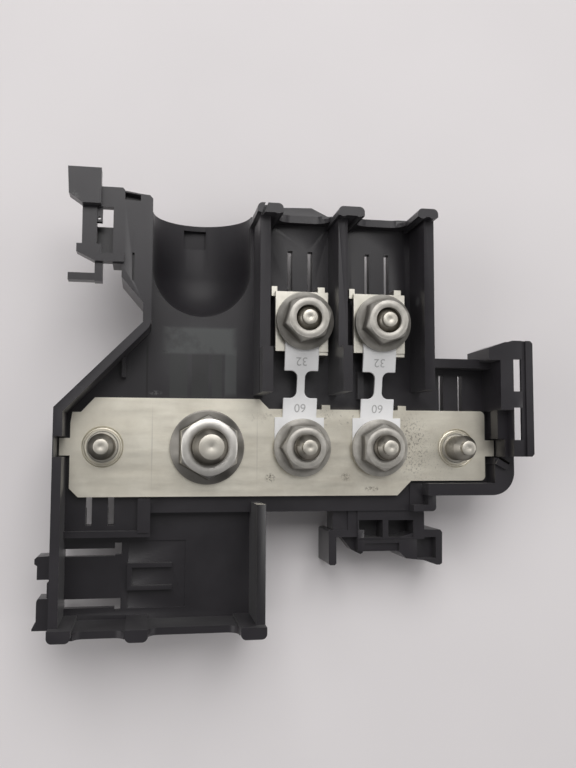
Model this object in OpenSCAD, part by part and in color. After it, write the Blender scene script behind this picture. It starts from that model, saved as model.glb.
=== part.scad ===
// Battery fuse and power distribution carrier: a moulded base with a busbar, studs, strip fuses and nuts.
// Plan positions are measured from the main stud's axis, heights from the surface that the base stands on.

/* [Busbar] */
// Thickness of the busbar
busbar_t = 2; // [1.5:0.1:2.5]
// From the left stud to the busbar's left edge
left_margin = 7.3; // [6.8:0.1:7.6]
// From the right stud to the busbar's right edge
right_margin = 7.5; // [6:0.1:8.2]
// Half of the wide part's width
busbar_half_w = 11.5; // [10.5:0.1:11.7]
// From the stud line to the narrow arm's upper edge
arm_upper_w = 9.2; // [8:0.1:9.6]
// From the stud line to the narrow arm's lower edge
arm_lower_w = 8; // [7:0.1:8.2]
// Where the upper edge steps down to the arm
arm_upper_x = 14.7; // [10:0.1:20]
// Where the lower edge steps up to the arm
arm_lower_x = 50; // [46:0.1:52]
// Corner radius at the busbar's right end
busbar_corner_r = 1.2; // [0.6:0.1:2]
// Width of the locating tongues at both ends of the busbar
tongue_w = 4; // [3:0.1:5]
// How far the locating tongues stand out
tongue_l = 2.4; // [1.5:0.1:2.6]
// Depth of the coined rings around the bare studs
coin_r = 0.35; // [0.2:0.05:0.5]

/* [Studs and nuts] */
// Thread diameter of the small studs
small_d = 6; // [5:0.1:6.4]
// Thread diameter of the main stud
main_d = 8; // [7:0.1:9]
// Diameter of the small studs' turned tips
small_tip_d = 3.6; // [2.8:0.1:4.2]
// Diameter of the main stud's turned tip
main_tip_d = 4.8; // [4:0.1:5.6]
// How far the bare studs rise above the busbar
bare_rise = 8.4; // [6:0.1:10]
// How far the fuse studs rise above the busbar
fuse_rise = 11; // [10:0.1:13]
// How far the main stud rises above the busbar
main_rise = 13.6; // [12:0.1:16]
// Thickness of the stud heads under the deck
head_t = 2.5; // [2:0.1:3]
// How much wider than its thread a stud head is, on each side
head_rim = 2.2; // [1.8:0.1:3]
// Across the flats of the small nuts
small_flats = 9.8; // [9.5:0.1:10.4]
// Flange diameter of the small nuts
small_flange_d = 13.8; // [13:0.1:14.2]
// Height of the small nuts
small_nut_h = 6; // [5:0.1:7]
// Across the flats of the main nut
main_flats = 12.8; // [12:0.1:14]
// Flange diameter of the main nut
main_flange_d = 17.4; // [16.5:0.1:18.5]
// Height of the main nut
main_nut_h = 8; // [7:0.1:9]
// Thickness of the nuts' flanges at the rim
flange_rim_t = 1.2; // [0.8:0.1:1.6]
// Radial gap between a thread and its nut
thread_gap = 0.05; // [0.02:0.01:0.1]
// How much thicker a stud is inside the deck and the busbar, on each side
shank_rim = 0.5; // [0.4:0.05:0.7]
// Turn of the main nut's hexagon
main_turn = 30; // [0:1:59]
// Turn of the hexagon of the first fuse's nut on the busbar
bar_turn_1 = 0; // [0:1:59]
// Turn of the hexagon of the second fuse's nut on the busbar
bar_turn_2 = 30; // [0:1:59]
// Turn of the hexagon of the first fuse's terminal nut
terminal_turn_1 = 14; // [0:1:59]
// Turn of the hexagon of the second fuse's terminal nut
terminal_turn_2 = 18; // [0:1:59]

/* [Stud places] */
// From the main stud to the left stud
left_x = 24; // [23:0.1:25]
// From the main stud to the first fuse
fuse_1_x = 22.6; // [22:0.1:23.2]
// Distance between the two fuses
fuse_pitch = 19.1; // [18.6:0.1:19.4]
// From the second fuse to the right stud
right_gap = 20; // [19.4:0.1:20.6]

/* [Strip fuses] */
// Distance between a fuse's two holes
fuse_span = 30; // [29.4:0.1:30.6]
// Thickness of the fuse strip
fuse_t = 0.8; // [0.5:0.1:1]
// Width of the rounded ends under the nuts
fuse_end_w = 12; // [11:0.1:12.6]
// Length of the square foot on the busbar, from its hole
foot_l = 7.2; // [6.4:0.1:7.4]
// Width of the shoulders beside the neck
shoulder_w = 8.2; // [7:0.1:9]
// Narrowest width of the neck
neck_w = 1.9; // [1.2:0.1:2.6]
// Length of the neck between the shoulders
neck_l = 6.4; // [5:0.1:7.5]
// How far the outgoing terminals lie above the busbar
terminal_rise = 3.2; // [2.6:0.1:3.8]
// How far the strips sit to the left of their studs
strip_shift = 0.6; // [0:0.1:0.7]
// Radial gap between a strip's holes and its studs
strip_gap = 0.9; // [0.8:0.05:1]

/* [Terminal plates] */
// Width of a terminal plate
plate_w = 12.8; // [12.6:0.1:13.2]
// Length of a terminal plate
plate_l = 14.4; // [14:0.1:15]
// Thickness of a terminal plate
plate_t = 1.5; // [1:0.1:1.8]
// How far the plate overhangs the block below it
boss_inset = 1; // [0.8:0.1:1.4]
// How far the plates sit to the left of their studs
plate_shift = 0.5; // [0:0.1:0.8]

/* [Deck and walls] */
// Height of the deck that carries the busbar
deck_z = 13; // [12.5:0.1:14.5]
// Thickness of the deck
deck_t = 2.4; // [2:0.1:2.8]
// Height of the bay walls above the deck
wall_h = 11; // [9.5:0.1:12]
// Height of the tall walls between the fuse necks
tall_wall_h = 15.6; // [14:0.1:16]
// Height of the posts beside the cable exits
post_h = 14; // [13:0.1:15]
// Height of the low rim around the right bay
rim_h = 5; // [4:0.1:6]
// Thickness of the bay walls
wall_t = 2.2; // [1.8:0.1:2.4]
// Front face of the fuse bays
front_y = 56.3; // [55.6:0.1:57]
// Thickness of the front wall
front_t = 1.6; // [1.2:0.1:2]
// Outer corner radius of the right bay
bay_corner_r = 5.6; // [5:0.1:6]
// Thickness of the right bay's lower rim
bay_rim_t = 2.9; // [2.4:0.1:3.2]

/* [Cable trough] */
// Radius of the round cable trough
trough_r = 11.8; // [11:0.1:12]
// Wall of the trough
trough_wall = 1.8; // [1.5:0.1:2.2]
// From the main stud's axis to the trough's centre line
trough_x = 1.5; // [1:0.1:2]
// Where the trough's straight part ends in a ball
ball_y = 43; // [42:0.1:44]

/* [Tray] */
// Height of the tray's floor
tray_z = 10; // [9.6:0.1:10.4]
// Thickness of the tray's floor
tray_t = 2.2; // [1.8:0.1:2.6]
// Outer face of the tray's lower wall
tray_y = 41.6; // [41:0.1:42.2]
// From the busbar's left edge to the left wall's outer face
left_wall_gap = 2.95; // [2.85:0.05:3.4]
// Outer face of the tray's right wall
tray_right_x = 12.8; // [12.6:0.1:13.2]

/* [Clearances] */
// Radial gap around studs in the busbar, fuses and plates
hole_gap = 0.3; // [0.2:0.05:0.5]
// Radial gap around studs in the deck and around their heads
seat_gap = 0.1; // [0.05:0.01:0.2]

/* [Hidden] */
$fn = 96;
over = 0.5;
small_r = small_d / 2;
main_r = main_d / 2;
cut_h = 2 * tall_wall_h + 2 * deck_z;

// Heights
deck_under = deck_z - deck_t;
busbar_top = deck_z + busbar_t;
terminal_top = busbar_top + terminal_rise;
wall_z = deck_z + wall_h;
tall_z = deck_z + tall_wall_h;
post_z = deck_z + post_h;
rim_z = deck_z + rim_h;
tray_under = tray_z - tray_t;
trough_z = trough_r + trough_wall;

// Places across the base
fuse_2_x = fuse_1_x + fuse_pitch;
right_x = fuse_2_x + right_gap;
busbar_left = left_x + left_margin;
busbar_right = right_x + right_margin;
left_wall_x = busbar_left + left_wall_gap;
channel_wall_x = fuse_1_x - 11.5;
middle_wall_x = fuse_1_x + 7.1;
right_wall_x = fuse_2_x + 9;
right_wall_end = right_wall_x + wall_t + 0.25;
bay_floor_y = front_y - front_t;
wide_wall_right = -trough_x - trough_r - 0.15;
wide_wall_left = wide_wall_right - 6.75;
ledge_y = -busbar_half_w - 3.8;
bay_east_x = busbar_right + 1.3;
ledge_east_x = bay_east_x + 5;
bay_top_y = arm_upper_w + 12.7;
bay_low_y = -arm_lower_w - 3.45;
corner_x = ledge_east_x - bay_corner_r;
corner_y = bay_low_y + bay_corner_r;
bracket_x = busbar_right + 3.8;
bracket_right_x = bracket_x + 5;
bracket_z = wall_z;

// The part stands on its lowest faces, centred in its own box
x_low = -left_wall_x - 4.05;
x_high = bracket_right_x;
y_low = -tray_y - 0.45;
y_high = front_y + 5.75;
centre_x = (x_low + x_high) / 2;
centre_y = (y_low + y_high) / 2;

module in_frame() {
    translate([-centre_x, -centre_y, 0]) children();
}

// A block between two opposite corners
module block(low, high) {
    translate(low) cube(high - low);
}

// A prism over an outline, between two heights
module prism(points, low, high) {
    translate([0, 0, low]) linear_extrude(high - low) polygon(points);
}

// ---- the moulded base ----

module deck_outline() {
    difference() {
        union() {
            polygon([
                [-left_wall_x, ledge_y - 5.4], [-12.9, ledge_y - 5.4], [-12.9, ledge_y],
                [right_wall_end + 3.2, ledge_y], [right_wall_end + 3.2, bay_low_y],
                [corner_x, bay_low_y], [ledge_east_x, corner_y],
                [ledge_east_x, bay_top_y], [right_wall_end, bay_top_y], [right_wall_end, front_y],
                [wide_wall_left, front_y], [wide_wall_left, 35.8], [wide_wall_left + 4.9, 31.4],
                [wide_wall_left + 4.9, 27.9], [-left_wall_x, 8.6]
            ]);
            translate([corner_x, corner_y]) circle(bay_corner_r);
        }
        translate([-trough_x - trough_r, ball_y]) square([2 * trough_r, front_y]);
        translate([-trough_x, ball_y]) circle(trough_r);
    }
}

module deck() {
    translate([0, 0, deck_under]) linear_extrude(deck_t) deck_outline();
}

// Half-round trough with a ball end, open towards the front
module trough() {
    outer_r = trough_r + trough_wall;
    recess_w = 5.6;
    recess_l = 4.7;
    difference() {
        union() {
            translate([-trough_x, ball_y, trough_z]) sphere(outer_r);
            translate([-trough_x, ball_y, trough_z]) rotate([-90, 0, 0])
                cylinder(r = outer_r, h = front_y - ball_y);
        }
        translate([-trough_x, ball_y, trough_z]) sphere(trough_r);
        translate([-trough_x, ball_y, trough_z]) rotate([-90, 0, 0])
            cylinder(r = trough_r, h = front_y);
        block([-2 * outer_r, 0, deck_z], [2 * outer_r, 2 * front_y, cut_h]);
        // square recess in the bottom
        recess_x = -trough_x - recess_w + 1.6;
        recess_y = front_y - recess_l - 1.3;
        block([recess_x, recess_y, 0.7], [recess_x + recess_w, recess_y + recess_l, trough_wall + 3]);
    }
}

module left_walls() {
    inner_x = -left_wall_x + wall_t - 0.2;
    corner_top = ball_y - 5;
    corner_low = ball_y - 10.7;
    throat_y = ball_y - 15.1;
    // left wall and diagonal
    block([-left_wall_x, -tray_y, tray_under], [inner_x, 8.6, wall_z]);
    prism([
        [-left_wall_x, 8.6], [inner_x, 7.7], [wide_wall_left + 6.3, 26.8], [wide_wall_left + 6.9, 28.5],
        [wide_wall_left + 4.9, throat_y]
    ], deck_under, wall_z);
    // wide wall beside the trough, hollow underneath
    difference() {
        prism([
            [wide_wall_left + 4.9, throat_y], [wide_wall_right, 27.6], [wide_wall_right, front_y - 0.1],
            [wide_wall_right - 0.7, front_y + 0.7], [wide_wall_left + 3.9, front_y + 0.9],
            [wide_wall_left, front_y + 1.5], [wide_wall_left, corner_top], [wide_wall_left + 4.9, corner_low]
        ], deck_under, wall_z);
        block([wide_wall_left + 1.7, corner_top + 1.5, 0], [wide_wall_right - 1.7, front_y - 2.6, wall_z - 2]);
        // slit and end pocket in the top
        slit_x = wide_wall_left + 2.3;
        slit_y = ball_y - 5.7;
        block([slit_x, slit_y, wall_z - 1], [slit_x + 0.5, slit_y + 6.3, wall_z + over]);
        pocket_x = wide_wall_left + 0.4;
        pocket_y = front_y - 0.8;
        prism([
            [pocket_x, pocket_y + 0.2], [pocket_x + 3.6, pocket_y], [pocket_x + 3.6, pocket_y + 1.4],
            [pocket_x, pocket_y + 1.9]
        ], wall_z - 2, wall_z + over);
    }
    // low stub and rib around the left stud's chamber
    block([-15.8, ledge_y - 4.4, deck_under], [-12.9, -busbar_half_w - 0.4, deck_z + 2.5]);
    block([-left_wall_x + 1, ledge_y - 5.4, deck_under], [-12.9, ledge_y - 4, deck_z + 2]);
    block([-20, 16.2, deck_z - 0.2], [-19, 21.1, deck_z + 2]);
}

module bay_walls() {
    wall_low = arm_upper_w + 3.2;
    channel_right = channel_wall_x + wall_t + 0.3;
    middle_right = middle_wall_x + wall_t;
    block([channel_wall_x, wall_low, deck_under], [channel_right, bay_floor_y, wall_z]);
    block([channel_wall_x + 0.1, wall_low, deck_under], [channel_right, wall_low + 10.2, tall_z]);
    block([middle_wall_x, wall_low + 0.4, deck_under], [middle_right, bay_floor_y, wall_z]);
    block([middle_wall_x, wall_low + 0.4, deck_under], [middle_right, wall_low + 10.8, tall_z]);
    block([right_wall_x, wall_low + 1.3, deck_under], [right_wall_end, bay_floor_y, wall_z]);
    // low rib in the second bay
    block([fuse_2_x - 5, wall_low - 0.5, deck_under], [fuse_2_x - 3.5, wall_low + 6.3, deck_z + 1.5]);
}

// Rounded U-shaped cable exit, cut through the front wall
module exit_cut(left, right, bottom) {
    r = 3.6;
    open_h = post_z + over - bottom;
    translate([0, bay_floor_y - 4, 0]) rotate([90, 0, 0]) mirror([0, 0, 1]) linear_extrude(8) union() {
        translate([left + r, bottom + r]) circle(r);
        translate([right - r, bottom + r]) circle(r);
        translate([left + r, bottom]) square([right - left - 2 * r, open_h]);
        translate([left, bottom + r]) square([right - left, open_h - r]);
    }
}

// Post that thickens the front wall beside a cable exit
module post(left, right, back, front) {
    r = 1.2;
    translate([0, 0, deck_under]) linear_extrude(post_z - deck_under) union() {
        translate([left, back]) square([right - left, front - back - r]);
        translate([left + r, back]) square([right - left - 2 * r, front - back]);
        translate([left + r, front - r]) circle(r);
        translate([right - r, front - r]) circle(r);
    }
}

module front_wall() {
    exit_1_left = channel_wall_x + 5;
    exit_1_right = middle_wall_x - 0.65;
    exit_2_left = middle_wall_x + 5.6;
    exit_2_right = right_wall_x - 2.45;
    exit_bottom = deck_z + 2.5;
    sill_z = exit_bottom + 3.6;
    difference() {
        union() {
            block([channel_wall_x, bay_floor_y, deck_under], [right_wall_end, front_y - 0.6, sill_z]);
            block([exit_1_left - 1, bay_floor_y, deck_under], [right_wall_end, front_y + 0.2, exit_bottom + 0.6]);
            post(channel_wall_x - 1, exit_1_left, front_y - 2.6, front_y - 0.4);
            post(exit_1_right, exit_2_left, front_y - 2.4, front_y - 0.25);
            post(exit_2_right, right_wall_end + 0.1, front_y - 1.8, front_y + 0.2);
        }
        exit_cut(exit_1_left, exit_1_right, exit_bottom);
        exit_cut(exit_2_left, exit_2_right, exit_bottom);
        // slanted nick in the first post's top
        translate([channel_wall_x + 0.7, front_y - 1.6, post_z - 2]) rotate([0, 0, -20])
            block([-0.3, -2, 0], [0.3, 3, 3]);
    }
    // tongue in front of the first bay
    prism([
        [exit_1_left + 1.8, front_y - 0.2], [exit_1_right + 0.6, front_y - 0.2],
        [exit_1_right + 0.4, front_y + 0.9], [exit_1_left + 9.2, front_y + 2.85],
        [exit_1_left + 2.2, front_y + 2.6]
    ], deck_under, deck_z + 0.6);
}

// Block that carries a terminal plate
module terminal_boss(x) {
    boss_x = plate_w / 2 - boss_inset;
    boss_y = plate_l / 2 - boss_inset;
    translate([x - plate_shift, fuse_span, 0])
        block([-boss_x, -boss_y, deck_under], [boss_x, boss_y, terminal_top - plate_t]);
}

module right_bay() {
    rim_inner_y = bay_low_y + bay_rim_t;
    pocket_x = right_wall_end + 2.65;
    // low rim
    block([right_wall_end - 0.2, bay_top_y - 2.2, deck_under], [bay_east_x, bay_top_y, rim_z]);
    difference() {
        union() {
            block([right_wall_end + 0.2, bay_low_y, deck_under], [corner_x, rim_inner_y, rim_z]);
            block([bay_east_x, corner_y, deck_under], [ledge_east_x, 10, rim_z]);
            translate([corner_x, corner_y, deck_under]) cylinder(r = bay_corner_r, h = rim_z - deck_under);
        }
        block([corner_x - bay_corner_r - 1, rim_inner_y, deck_z], [bay_east_x, 12, rim_z + over]);
        // slanted gaps beside the tongue
        for (side = [-1, 1]) {
            translate([bay_east_x, side * 1.6, deck_z + 1]) rotate([0, 0, side * 30])
                block([-0.5, -0.3, 0], [4.4, 0.3, rim_h]);
        }
    }
    // block below the bay's lower left corner
    difference() {
        union() {
            block([right_wall_end - 3, ledge_y + 1, deck_under], [pocket_x, rim_inner_y, rim_z - 1.5]);
            block([right_wall_end - 3, ledge_y, deck_under], [pocket_x - 1, ledge_y + 1, rim_z - 1.5]);
            translate([pocket_x - 1, ledge_y + 1, deck_under]) cylinder(r = 1, h = rim_z - 1.5 - deck_under);
        }
        block([right_wall_end - 4, ledge_y + 1.5, deck_z + 0.4], [right_wall_end + 0.7, corner_y, rim_z]);
    }
    // fingers that hold the busbar's right tongue
    for (side = [-1, 1]) {
        translate([bay_east_x + 0.2, side * (tongue_w / 2 + 1.2), deck_under]) rotate([0, 0, side * 28])
            block([0, -0.7, 0], [3.2, 0.7, rim_z + 1 - deck_under]);
    }
}

module right_bracket() {
    inner_x = bay_east_x - 0.8;
    rail_x = bracket_x - 0.2;
    rail_low = -2;
    rail_top = bay_top_y + 4.1;
    lip_x = bracket_right_x - 1.2;
    edge = 0.6;
    // tall corner beside the bay
    prism([
        [inner_x, arm_upper_w], [bracket_x, arm_upper_w], [bracket_x, bay_top_y + 3.8],
        [bracket_x - 2.1, bay_top_y + 3.7], [bracket_x - 9.5, bay_top_y + 1.3],
        [bracket_x - 9.5, bay_top_y - 0.7], [inner_x, bay_top_y - 0.7]
    ], deck_under, wall_z);
    // thin slotted rail for the cover's hooks
    difference() {
        prism([
            [rail_x, rail_low], [bracket_right_x - edge, rail_low], [bracket_right_x, rail_low + edge],
            [bracket_right_x, rail_top - edge], [bracket_right_x - edge, rail_top], [rail_x, rail_top]
        ], bracket_z - 1.4, bracket_z);
        for (y = [bay_top_y - 8.2, bay_top_y - 19.9])
            block([bracket_x, y, bracket_z - 2], [bracket_x + 2.2, y + 7.8, bracket_z + over]);
        block([bracket_x + 2.2, rail_low - 1, bracket_z - 0.6], [bracket_x + 3.2, rail_top + 1, bracket_z + over]);
    }
    block([lip_x, rail_low + edge, bracket_z - 2.6], [bracket_right_x, rail_top - edge, bracket_z - 1]);
    // ribs that carry the rail
    block([bracket_x - 3, rail_low, rim_z - 1], [bracket_x, 10, bracket_z - 3]);
    block([rail_x, rail_low, rim_z - 1], [bracket_x + 0.1, rail_top, bracket_z - 1]);
}

module hinge_bracket() {
    left = wide_wall_left - 12;
    bar_left = wide_wall_left - 8.8;
    bar_right = wide_wall_left - 5.6;
    head_right = wide_wall_left - 4.7;
    strip_x = wide_wall_left - 2;
    arm_x = wide_wall_left - 5.9;
    joined_x = wide_wall_left + 0.5;
    panel_top = front_y - 5.9;
    bar_top = front_y - 2.3;
    ledge_top = front_y - 11.3;
    ledge_low = front_y - 15.1;
    tail_y = front_y - 19.5;
    // head block
    prism([
        [left, y_high], [head_right, y_high], [head_right, bar_top], [bar_left, bar_top], [left + 0.3, front_y - 0.3]
    ], wall_z - 1.5, wall_z + 2);
    // cross piece to the wide wall
    prism([
        [head_right - 0.5, bar_top - 0.2], [joined_x, bar_top - 0.2], [joined_x, front_y + 1.5],
        [wide_wall_left, front_y + 2.1], [head_right - 0.5, front_y + 2.1]
    ], wall_z - 2.5, wall_z);
    // upright bar, with a pin hole in its web
    block([bar_left, ledge_top - 0.5, wall_z - 3], [bar_right, bar_top + 0.5, wall_z]);
    difference() {
        block([bar_right - 0.5, panel_top, wall_z - 2], [head_right + 0.3, bar_top, wall_z - 0.5]);
        translate([head_right - 0.4, panel_top + 0.9, wall_z - 3]) cylinder(r = 0.4, h = 4);
    }
    // sunk panel and the strip along the wide wall
    block([bar_right - 0.5, ledge_top - 1, wall_z - 7], [strip_x + 0.2, panel_top, wall_z - 5]);
    block([bar_right - 0.8, ledge_top - 1, wall_z - 7], [bar_right - 0.1, panel_top, wall_z - 2]);
    block([strip_x, ledge_low - 0.3, wall_z - 7], [joined_x, front_y + 0.5, wall_z]);
    // ledge with a bevelled corner
    prism([
        [bar_left - 1.1, ledge_top], [head_right + 0.2, ledge_top], [head_right + 0.2, ledge_top - 2],
        [joined_x, ledge_top - 2], [joined_x, ledge_low], [arm_x, ledge_low], [bar_left - 1.1, ledge_top - 1.8]
    ], wall_z - 2, wall_z + 1);
    // tail arm
    block([arm_x, tail_y, wall_z - 3], [arm_x + 1.7, ledge_low + 0.5, wall_z]);
    block([left + 0.3, tail_y + 0.2, wall_z - 3], [arm_x + 0.5, tail_y + 1.8, wall_z]);
}

module tray_floor() {
    slot_w = 1.8;
    slot_left = -left_wall_x + 1.9;
    slot_right = -20.8;
    difference() {
        block([-left_wall_x, -tray_y, tray_under], [tray_right_x, ledge_y + 1, tray_z]);
        // slots that free the snap tongue
        block([slot_left, -25.5, tray_under - over], [slot_right, -25.5 + slot_w, tray_z + over]);
        block([slot_right - 0.1, -25.2, tray_under - over], [slot_right + 1.5, -22.4, tray_z + over]);
        block([slot_left, -37.3, tray_under - over], [slot_right + 1.4, -37.3 + slot_w + 0.3, tray_z + over]);
        block([slot_right, -38, tray_under - over], [slot_right + 1.4, -36, tray_z + over]);
        // lowered panel
        block([slot_right + 3, -tray_y + 4, tray_z - 0.4], [-4.4, -22, tray_z + over]);
    }
    // riser between the tray's floor and the deck
    block([-left_wall_x, ledge_y - 5.4, tray_under], [-12.9, ledge_y - 4.2, deck_z]);
    block([-14.1, ledge_y - 5.4, tray_under], [-12.9, ledge_y + 1, deck_z]);
    block([-14.1, ledge_y, tray_under], [tray_right_x, ledge_y + 1.6, deck_z]);
    // U-shaped rib
    difference() {
        block([-18, -33.3, tray_z - 1], [-7.6, -27.1, tray_z + 1.2]);
        block([-16.9, -32.3, tray_z - 2], [-7, -28.1, tray_z + 2]);
    }
}

module tray_exit(left, right, bottom) {
    r = 2.6;
    open_h = post_z + over - bottom;
    translate([0, -tray_y - 2, 0]) rotate([90, 0, 0]) mirror([0, 0, 1]) linear_extrude(6) union() {
        translate([left + r, bottom + r]) circle(r);
        translate([right - r, bottom + r]) circle(r);
        translate([left + r, bottom]) square([right - left - 2 * r, open_h]);
        translate([left, bottom + r]) square([right - left, open_h - r]);
    }
}

module tray_foot(left, right, front) {
    r = 1.2;
    depth = 2.6;
    linear_extrude(post_z) translate([0, front]) union() {
        translate([left, r]) square([right - left, depth - r]);
        translate([left + r, 0]) square([right - left - 2 * r, depth]);
        translate([left + r, r]) circle(r);
        translate([right - r, r]) circle(r);
    }
}

module tray_walls() {
    exit_1 = [-29.3, -18];
    exit_2 = [-13.1, 7];
    wall_top = -busbar_half_w - 1.4;
    block([tray_right_x - wall_t + 0.2, -tray_y, tray_under], [tray_right_x, wall_top, wall_z]);
    difference() {
        union() {
            block([-left_wall_x, -tray_y, tray_under], [tray_right_x, -tray_y + 1.6, wall_z]);
            tray_foot(-left_wall_x, exit_1[0], -tray_y + 0.1);
            tray_foot(exit_1[1], exit_2[0], -tray_y - 0.15);
            tray_foot(exit_2[1], tray_right_x, y_low);
        }
        tray_exit(exit_1[0], exit_1[1], wall_z - 1.5);
        tray_exit(exit_2[0], exit_2[1], wall_z - 3.2);
    }
}

// Snap hooks outside the left wall
module left_clips() {
    joined_x = -left_wall_x + 0.5;
    face_x = -left_wall_x - 3.2;
    top = tray_z + 8;
    low = tray_z + 1;
    // upper hook
    prism([
        [joined_x, -29.4], [face_x, -29.4], [face_x, -26.4], [face_x - 0.6, -26], [face_x - 0.6, -24.9],
        [face_x, -24.4], [joined_x, -24.2]
    ], low, top);
    block([-left_wall_x - 1, -33.4, low], [joined_x, -30.2, top]);
    // lower hook
    prism([
        [joined_x, -33.6], [face_x + 0.3, -33.6], [face_x, -34.2], [face_x, -38.4], [x_low, -40.1],
        [x_low, -40.5], [joined_x, -40.5]
    ], low, top);
}

// Bracket below the busbar's ledge
module lower_clip() {
    low = 5;
    top = deck_z - 1;
    left = middle_wall_x + 0.9;
    joined_y = ledge_y + 0.5;
    // neck
    block([left + 0.5, -20.3, low], [left + 4.4, joined_y, top - 0.4]);
    block([left + 4.2, -20.3, low], [left + 7, joined_y, top]);
    // left arm and web
    prism([
        [left - 0.6, -28], [left - 0.2, -28.4], [left + 0.9, -28.4], [left + 1.3, -28], [left + 1.3, -20.4],
        [left + 0.9, -20], [left - 0.2, -20], [left - 0.6, -20.4]
    ], 0, top);
    block([left + 1, -21.7, low], [left + 7, -20, top]);
    // bevelled hook with a rib
    prism([
        [left + 2.8, -21.5], [left + 5.6, -25], [left + 8, -26.2], [left + 8.6, -25.8], [left + 8.6, -21.5]
    ], low, top - 2.5);
    block([left + 6.6, -25.2, low], [left + 8.2, -20, top + 0.3]);
    // cross bar
    block([left + 8, -25.3, low], [left + 18.6, -22, top - 0.8]);
    block([left + 8, -23.3, low], [left + 18.6, -22, top]);
    // roof with two pockets
    difference() {
        block([left + 6.5, -22.4, low], [left + 23.5, joined_y, top + 0.4]);
        block([left + 6.7, -20, top - 0.5], [left + 8.2, -17.6, top + 1]);
        block([left + 6.7, -21.9, low + 1.5], [left + 12.9, -17.6, top + 1]);
        block([left + 14.3, -21.9, low + 1.2], [left + 20.7, -17.7, top + 1]);
    }
    // right block
    difference() {
        prism([
            [left + 17.2, -22], [left + 23.5, -20.1], [left + 27.8, -20.2], [left + 28.3, -20.8],
            [left + 28.2, -28.4], [left + 27.6, -28.8], [left + 26.8, -28.8], [left + 23.4, -27.6],
            [left + 18.9, -27.1], [left + 17.2, -25.5]
        ], 0, top);
        block([left + 21.7, -27.2, top - 2.5], [left + 26.6, -22, top + over]);
    }
}

// Pocket under the deck for a stud's head
module head_boss(x, y, head_r) {
    translate([x, y, deck_under - head_t]) cylinder(r = head_r + 1.6, h = head_t + over);
}

module stud_hole(x, y, r) {
    head_under = deck_under - head_t - 1;
    translate([x, y, head_under]) cylinder(r = r + head_rim + seat_gap, h = head_t + 1);
    translate([x, y, head_under]) cylinder(r = r + shank_rim + seat_gap, h = cut_h);
}

// Pair of narrow slots on each side of a stud
module stud_slots(x, low, length, width) {
    spread = 2.5;
    for (side = [-1, 1]) translate([x + side * spread - width / 2, low, 0]) cube([width, length, deck_z + over]);
}

small_studs = [
    [-left_x, 0], [fuse_1_x, 0], [fuse_1_x, fuse_span], [fuse_2_x, 0], [fuse_2_x, fuse_span], [right_x, 0]
];

// Notches that hold the busbar's tongues
module tongue_seats() {
    half = tongue_w / 2 + hole_gap;
    reach = tongue_l + hole_gap;
    block([busbar_right, -half, deck_z], [busbar_right + reach, half, busbar_top + 6]);
    block([-busbar_left - reach, -half, deck_z], [-busbar_left, half, wall_z + over]);
}

module base() {
    color([0.13, 0.13, 0.14]) in_frame() difference() {
        union() {
            deck();
            trough();
            left_walls();
            bay_walls();
            front_wall();
            terminal_boss(fuse_1_x);
            terminal_boss(fuse_2_x);
            right_bay();
            right_bracket();
            hinge_bracket();
            tray_floor();
            tray_walls();
            left_clips();
            lower_clip();
            head_boss(0, 0, main_r + head_rim);
            for (p = small_studs) head_boss(p[0], p[1], small_r + head_rim);
        }
        stud_hole(0, 0, main_r);
        for (p = small_studs) stud_hole(p[0], p[1], small_r);
        tongue_seats();
        slot_l = 10;
        slot_w = 1.2;
        terminal_slot_y = fuse_span + plate_l / 2 + 1.1;
        stud_slots(fuse_1_x - 0.05, terminal_slot_y, slot_l, slot_w);
        stud_slots(fuse_2_x + 0.35, terminal_slot_y, slot_l, slot_w);
        stud_slots(right_x - 0.55, arm_upper_w - 1, slot_l, slot_w);
        stud_slots(-left_x - 0.4, -busbar_half_w - 6.7, slot_l, slot_w + 0.2);
    }
}

// ---- busbar ----

module busbar_outline() {
    r = busbar_corner_r;
    step = 2.3;
    low_step = 3.5;
    corner = 2;
    lug = 2.1;
    difference() {
        union() {
            polygon([
                [-busbar_left, -busbar_half_w + corner], [-busbar_left + corner, -busbar_half_w],
                [arm_lower_x - low_step, -busbar_half_w], [arm_lower_x, -arm_lower_w],
                [busbar_right - r, -arm_lower_w], [busbar_right - r, arm_upper_w], [arm_upper_x, arm_upper_w],
                [arm_upper_x - step, busbar_half_w], [-busbar_left + 5.4, busbar_half_w - 0.1],
                [-busbar_left + 2.3, 8], [-busbar_left + 0.4, 8], [-busbar_left, 5.4]
            ]);
            translate([busbar_right - 3, -arm_lower_w + r]) square([3, arm_upper_w + arm_lower_w - 2 * r]);
            translate([busbar_right - r, arm_upper_w - r]) circle(r);
            translate([busbar_right - r, -arm_lower_w + r]) circle(r);
            // end tongues and edge lugs
            translate([busbar_right - 1, -tongue_w / 2]) square([tongue_l + 1, tongue_w]);
            translate([-busbar_left - tongue_l, -tongue_w / 2]) square([tongue_l + 1, tongue_w]);
            for (x = [fuse_1_x, fuse_2_x]) translate([x + 5, arm_upper_w - 1]) square(lug);
        }
        circle(main_r + shank_rim + seat_gap);
        for (x = [-left_x, fuse_1_x, fuse_2_x, right_x]) translate([x, 0]) circle(small_r + shank_rim + seat_gap);
    }
}

module busbar() {
    color([0.78, 0.77, 0.72]) in_frame() difference() {
        translate([0, 0, deck_z]) linear_extrude(busbar_t) busbar_outline();
        // coined rings around the bare studs
        for (x = [-left_x, right_x]) translate([x, 0, busbar_top])
            rotate_extrude() translate([small_r + 1.4, 0]) circle(coin_r, $fn = 24);
    }
}

// ---- studs and nuts ----

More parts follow.
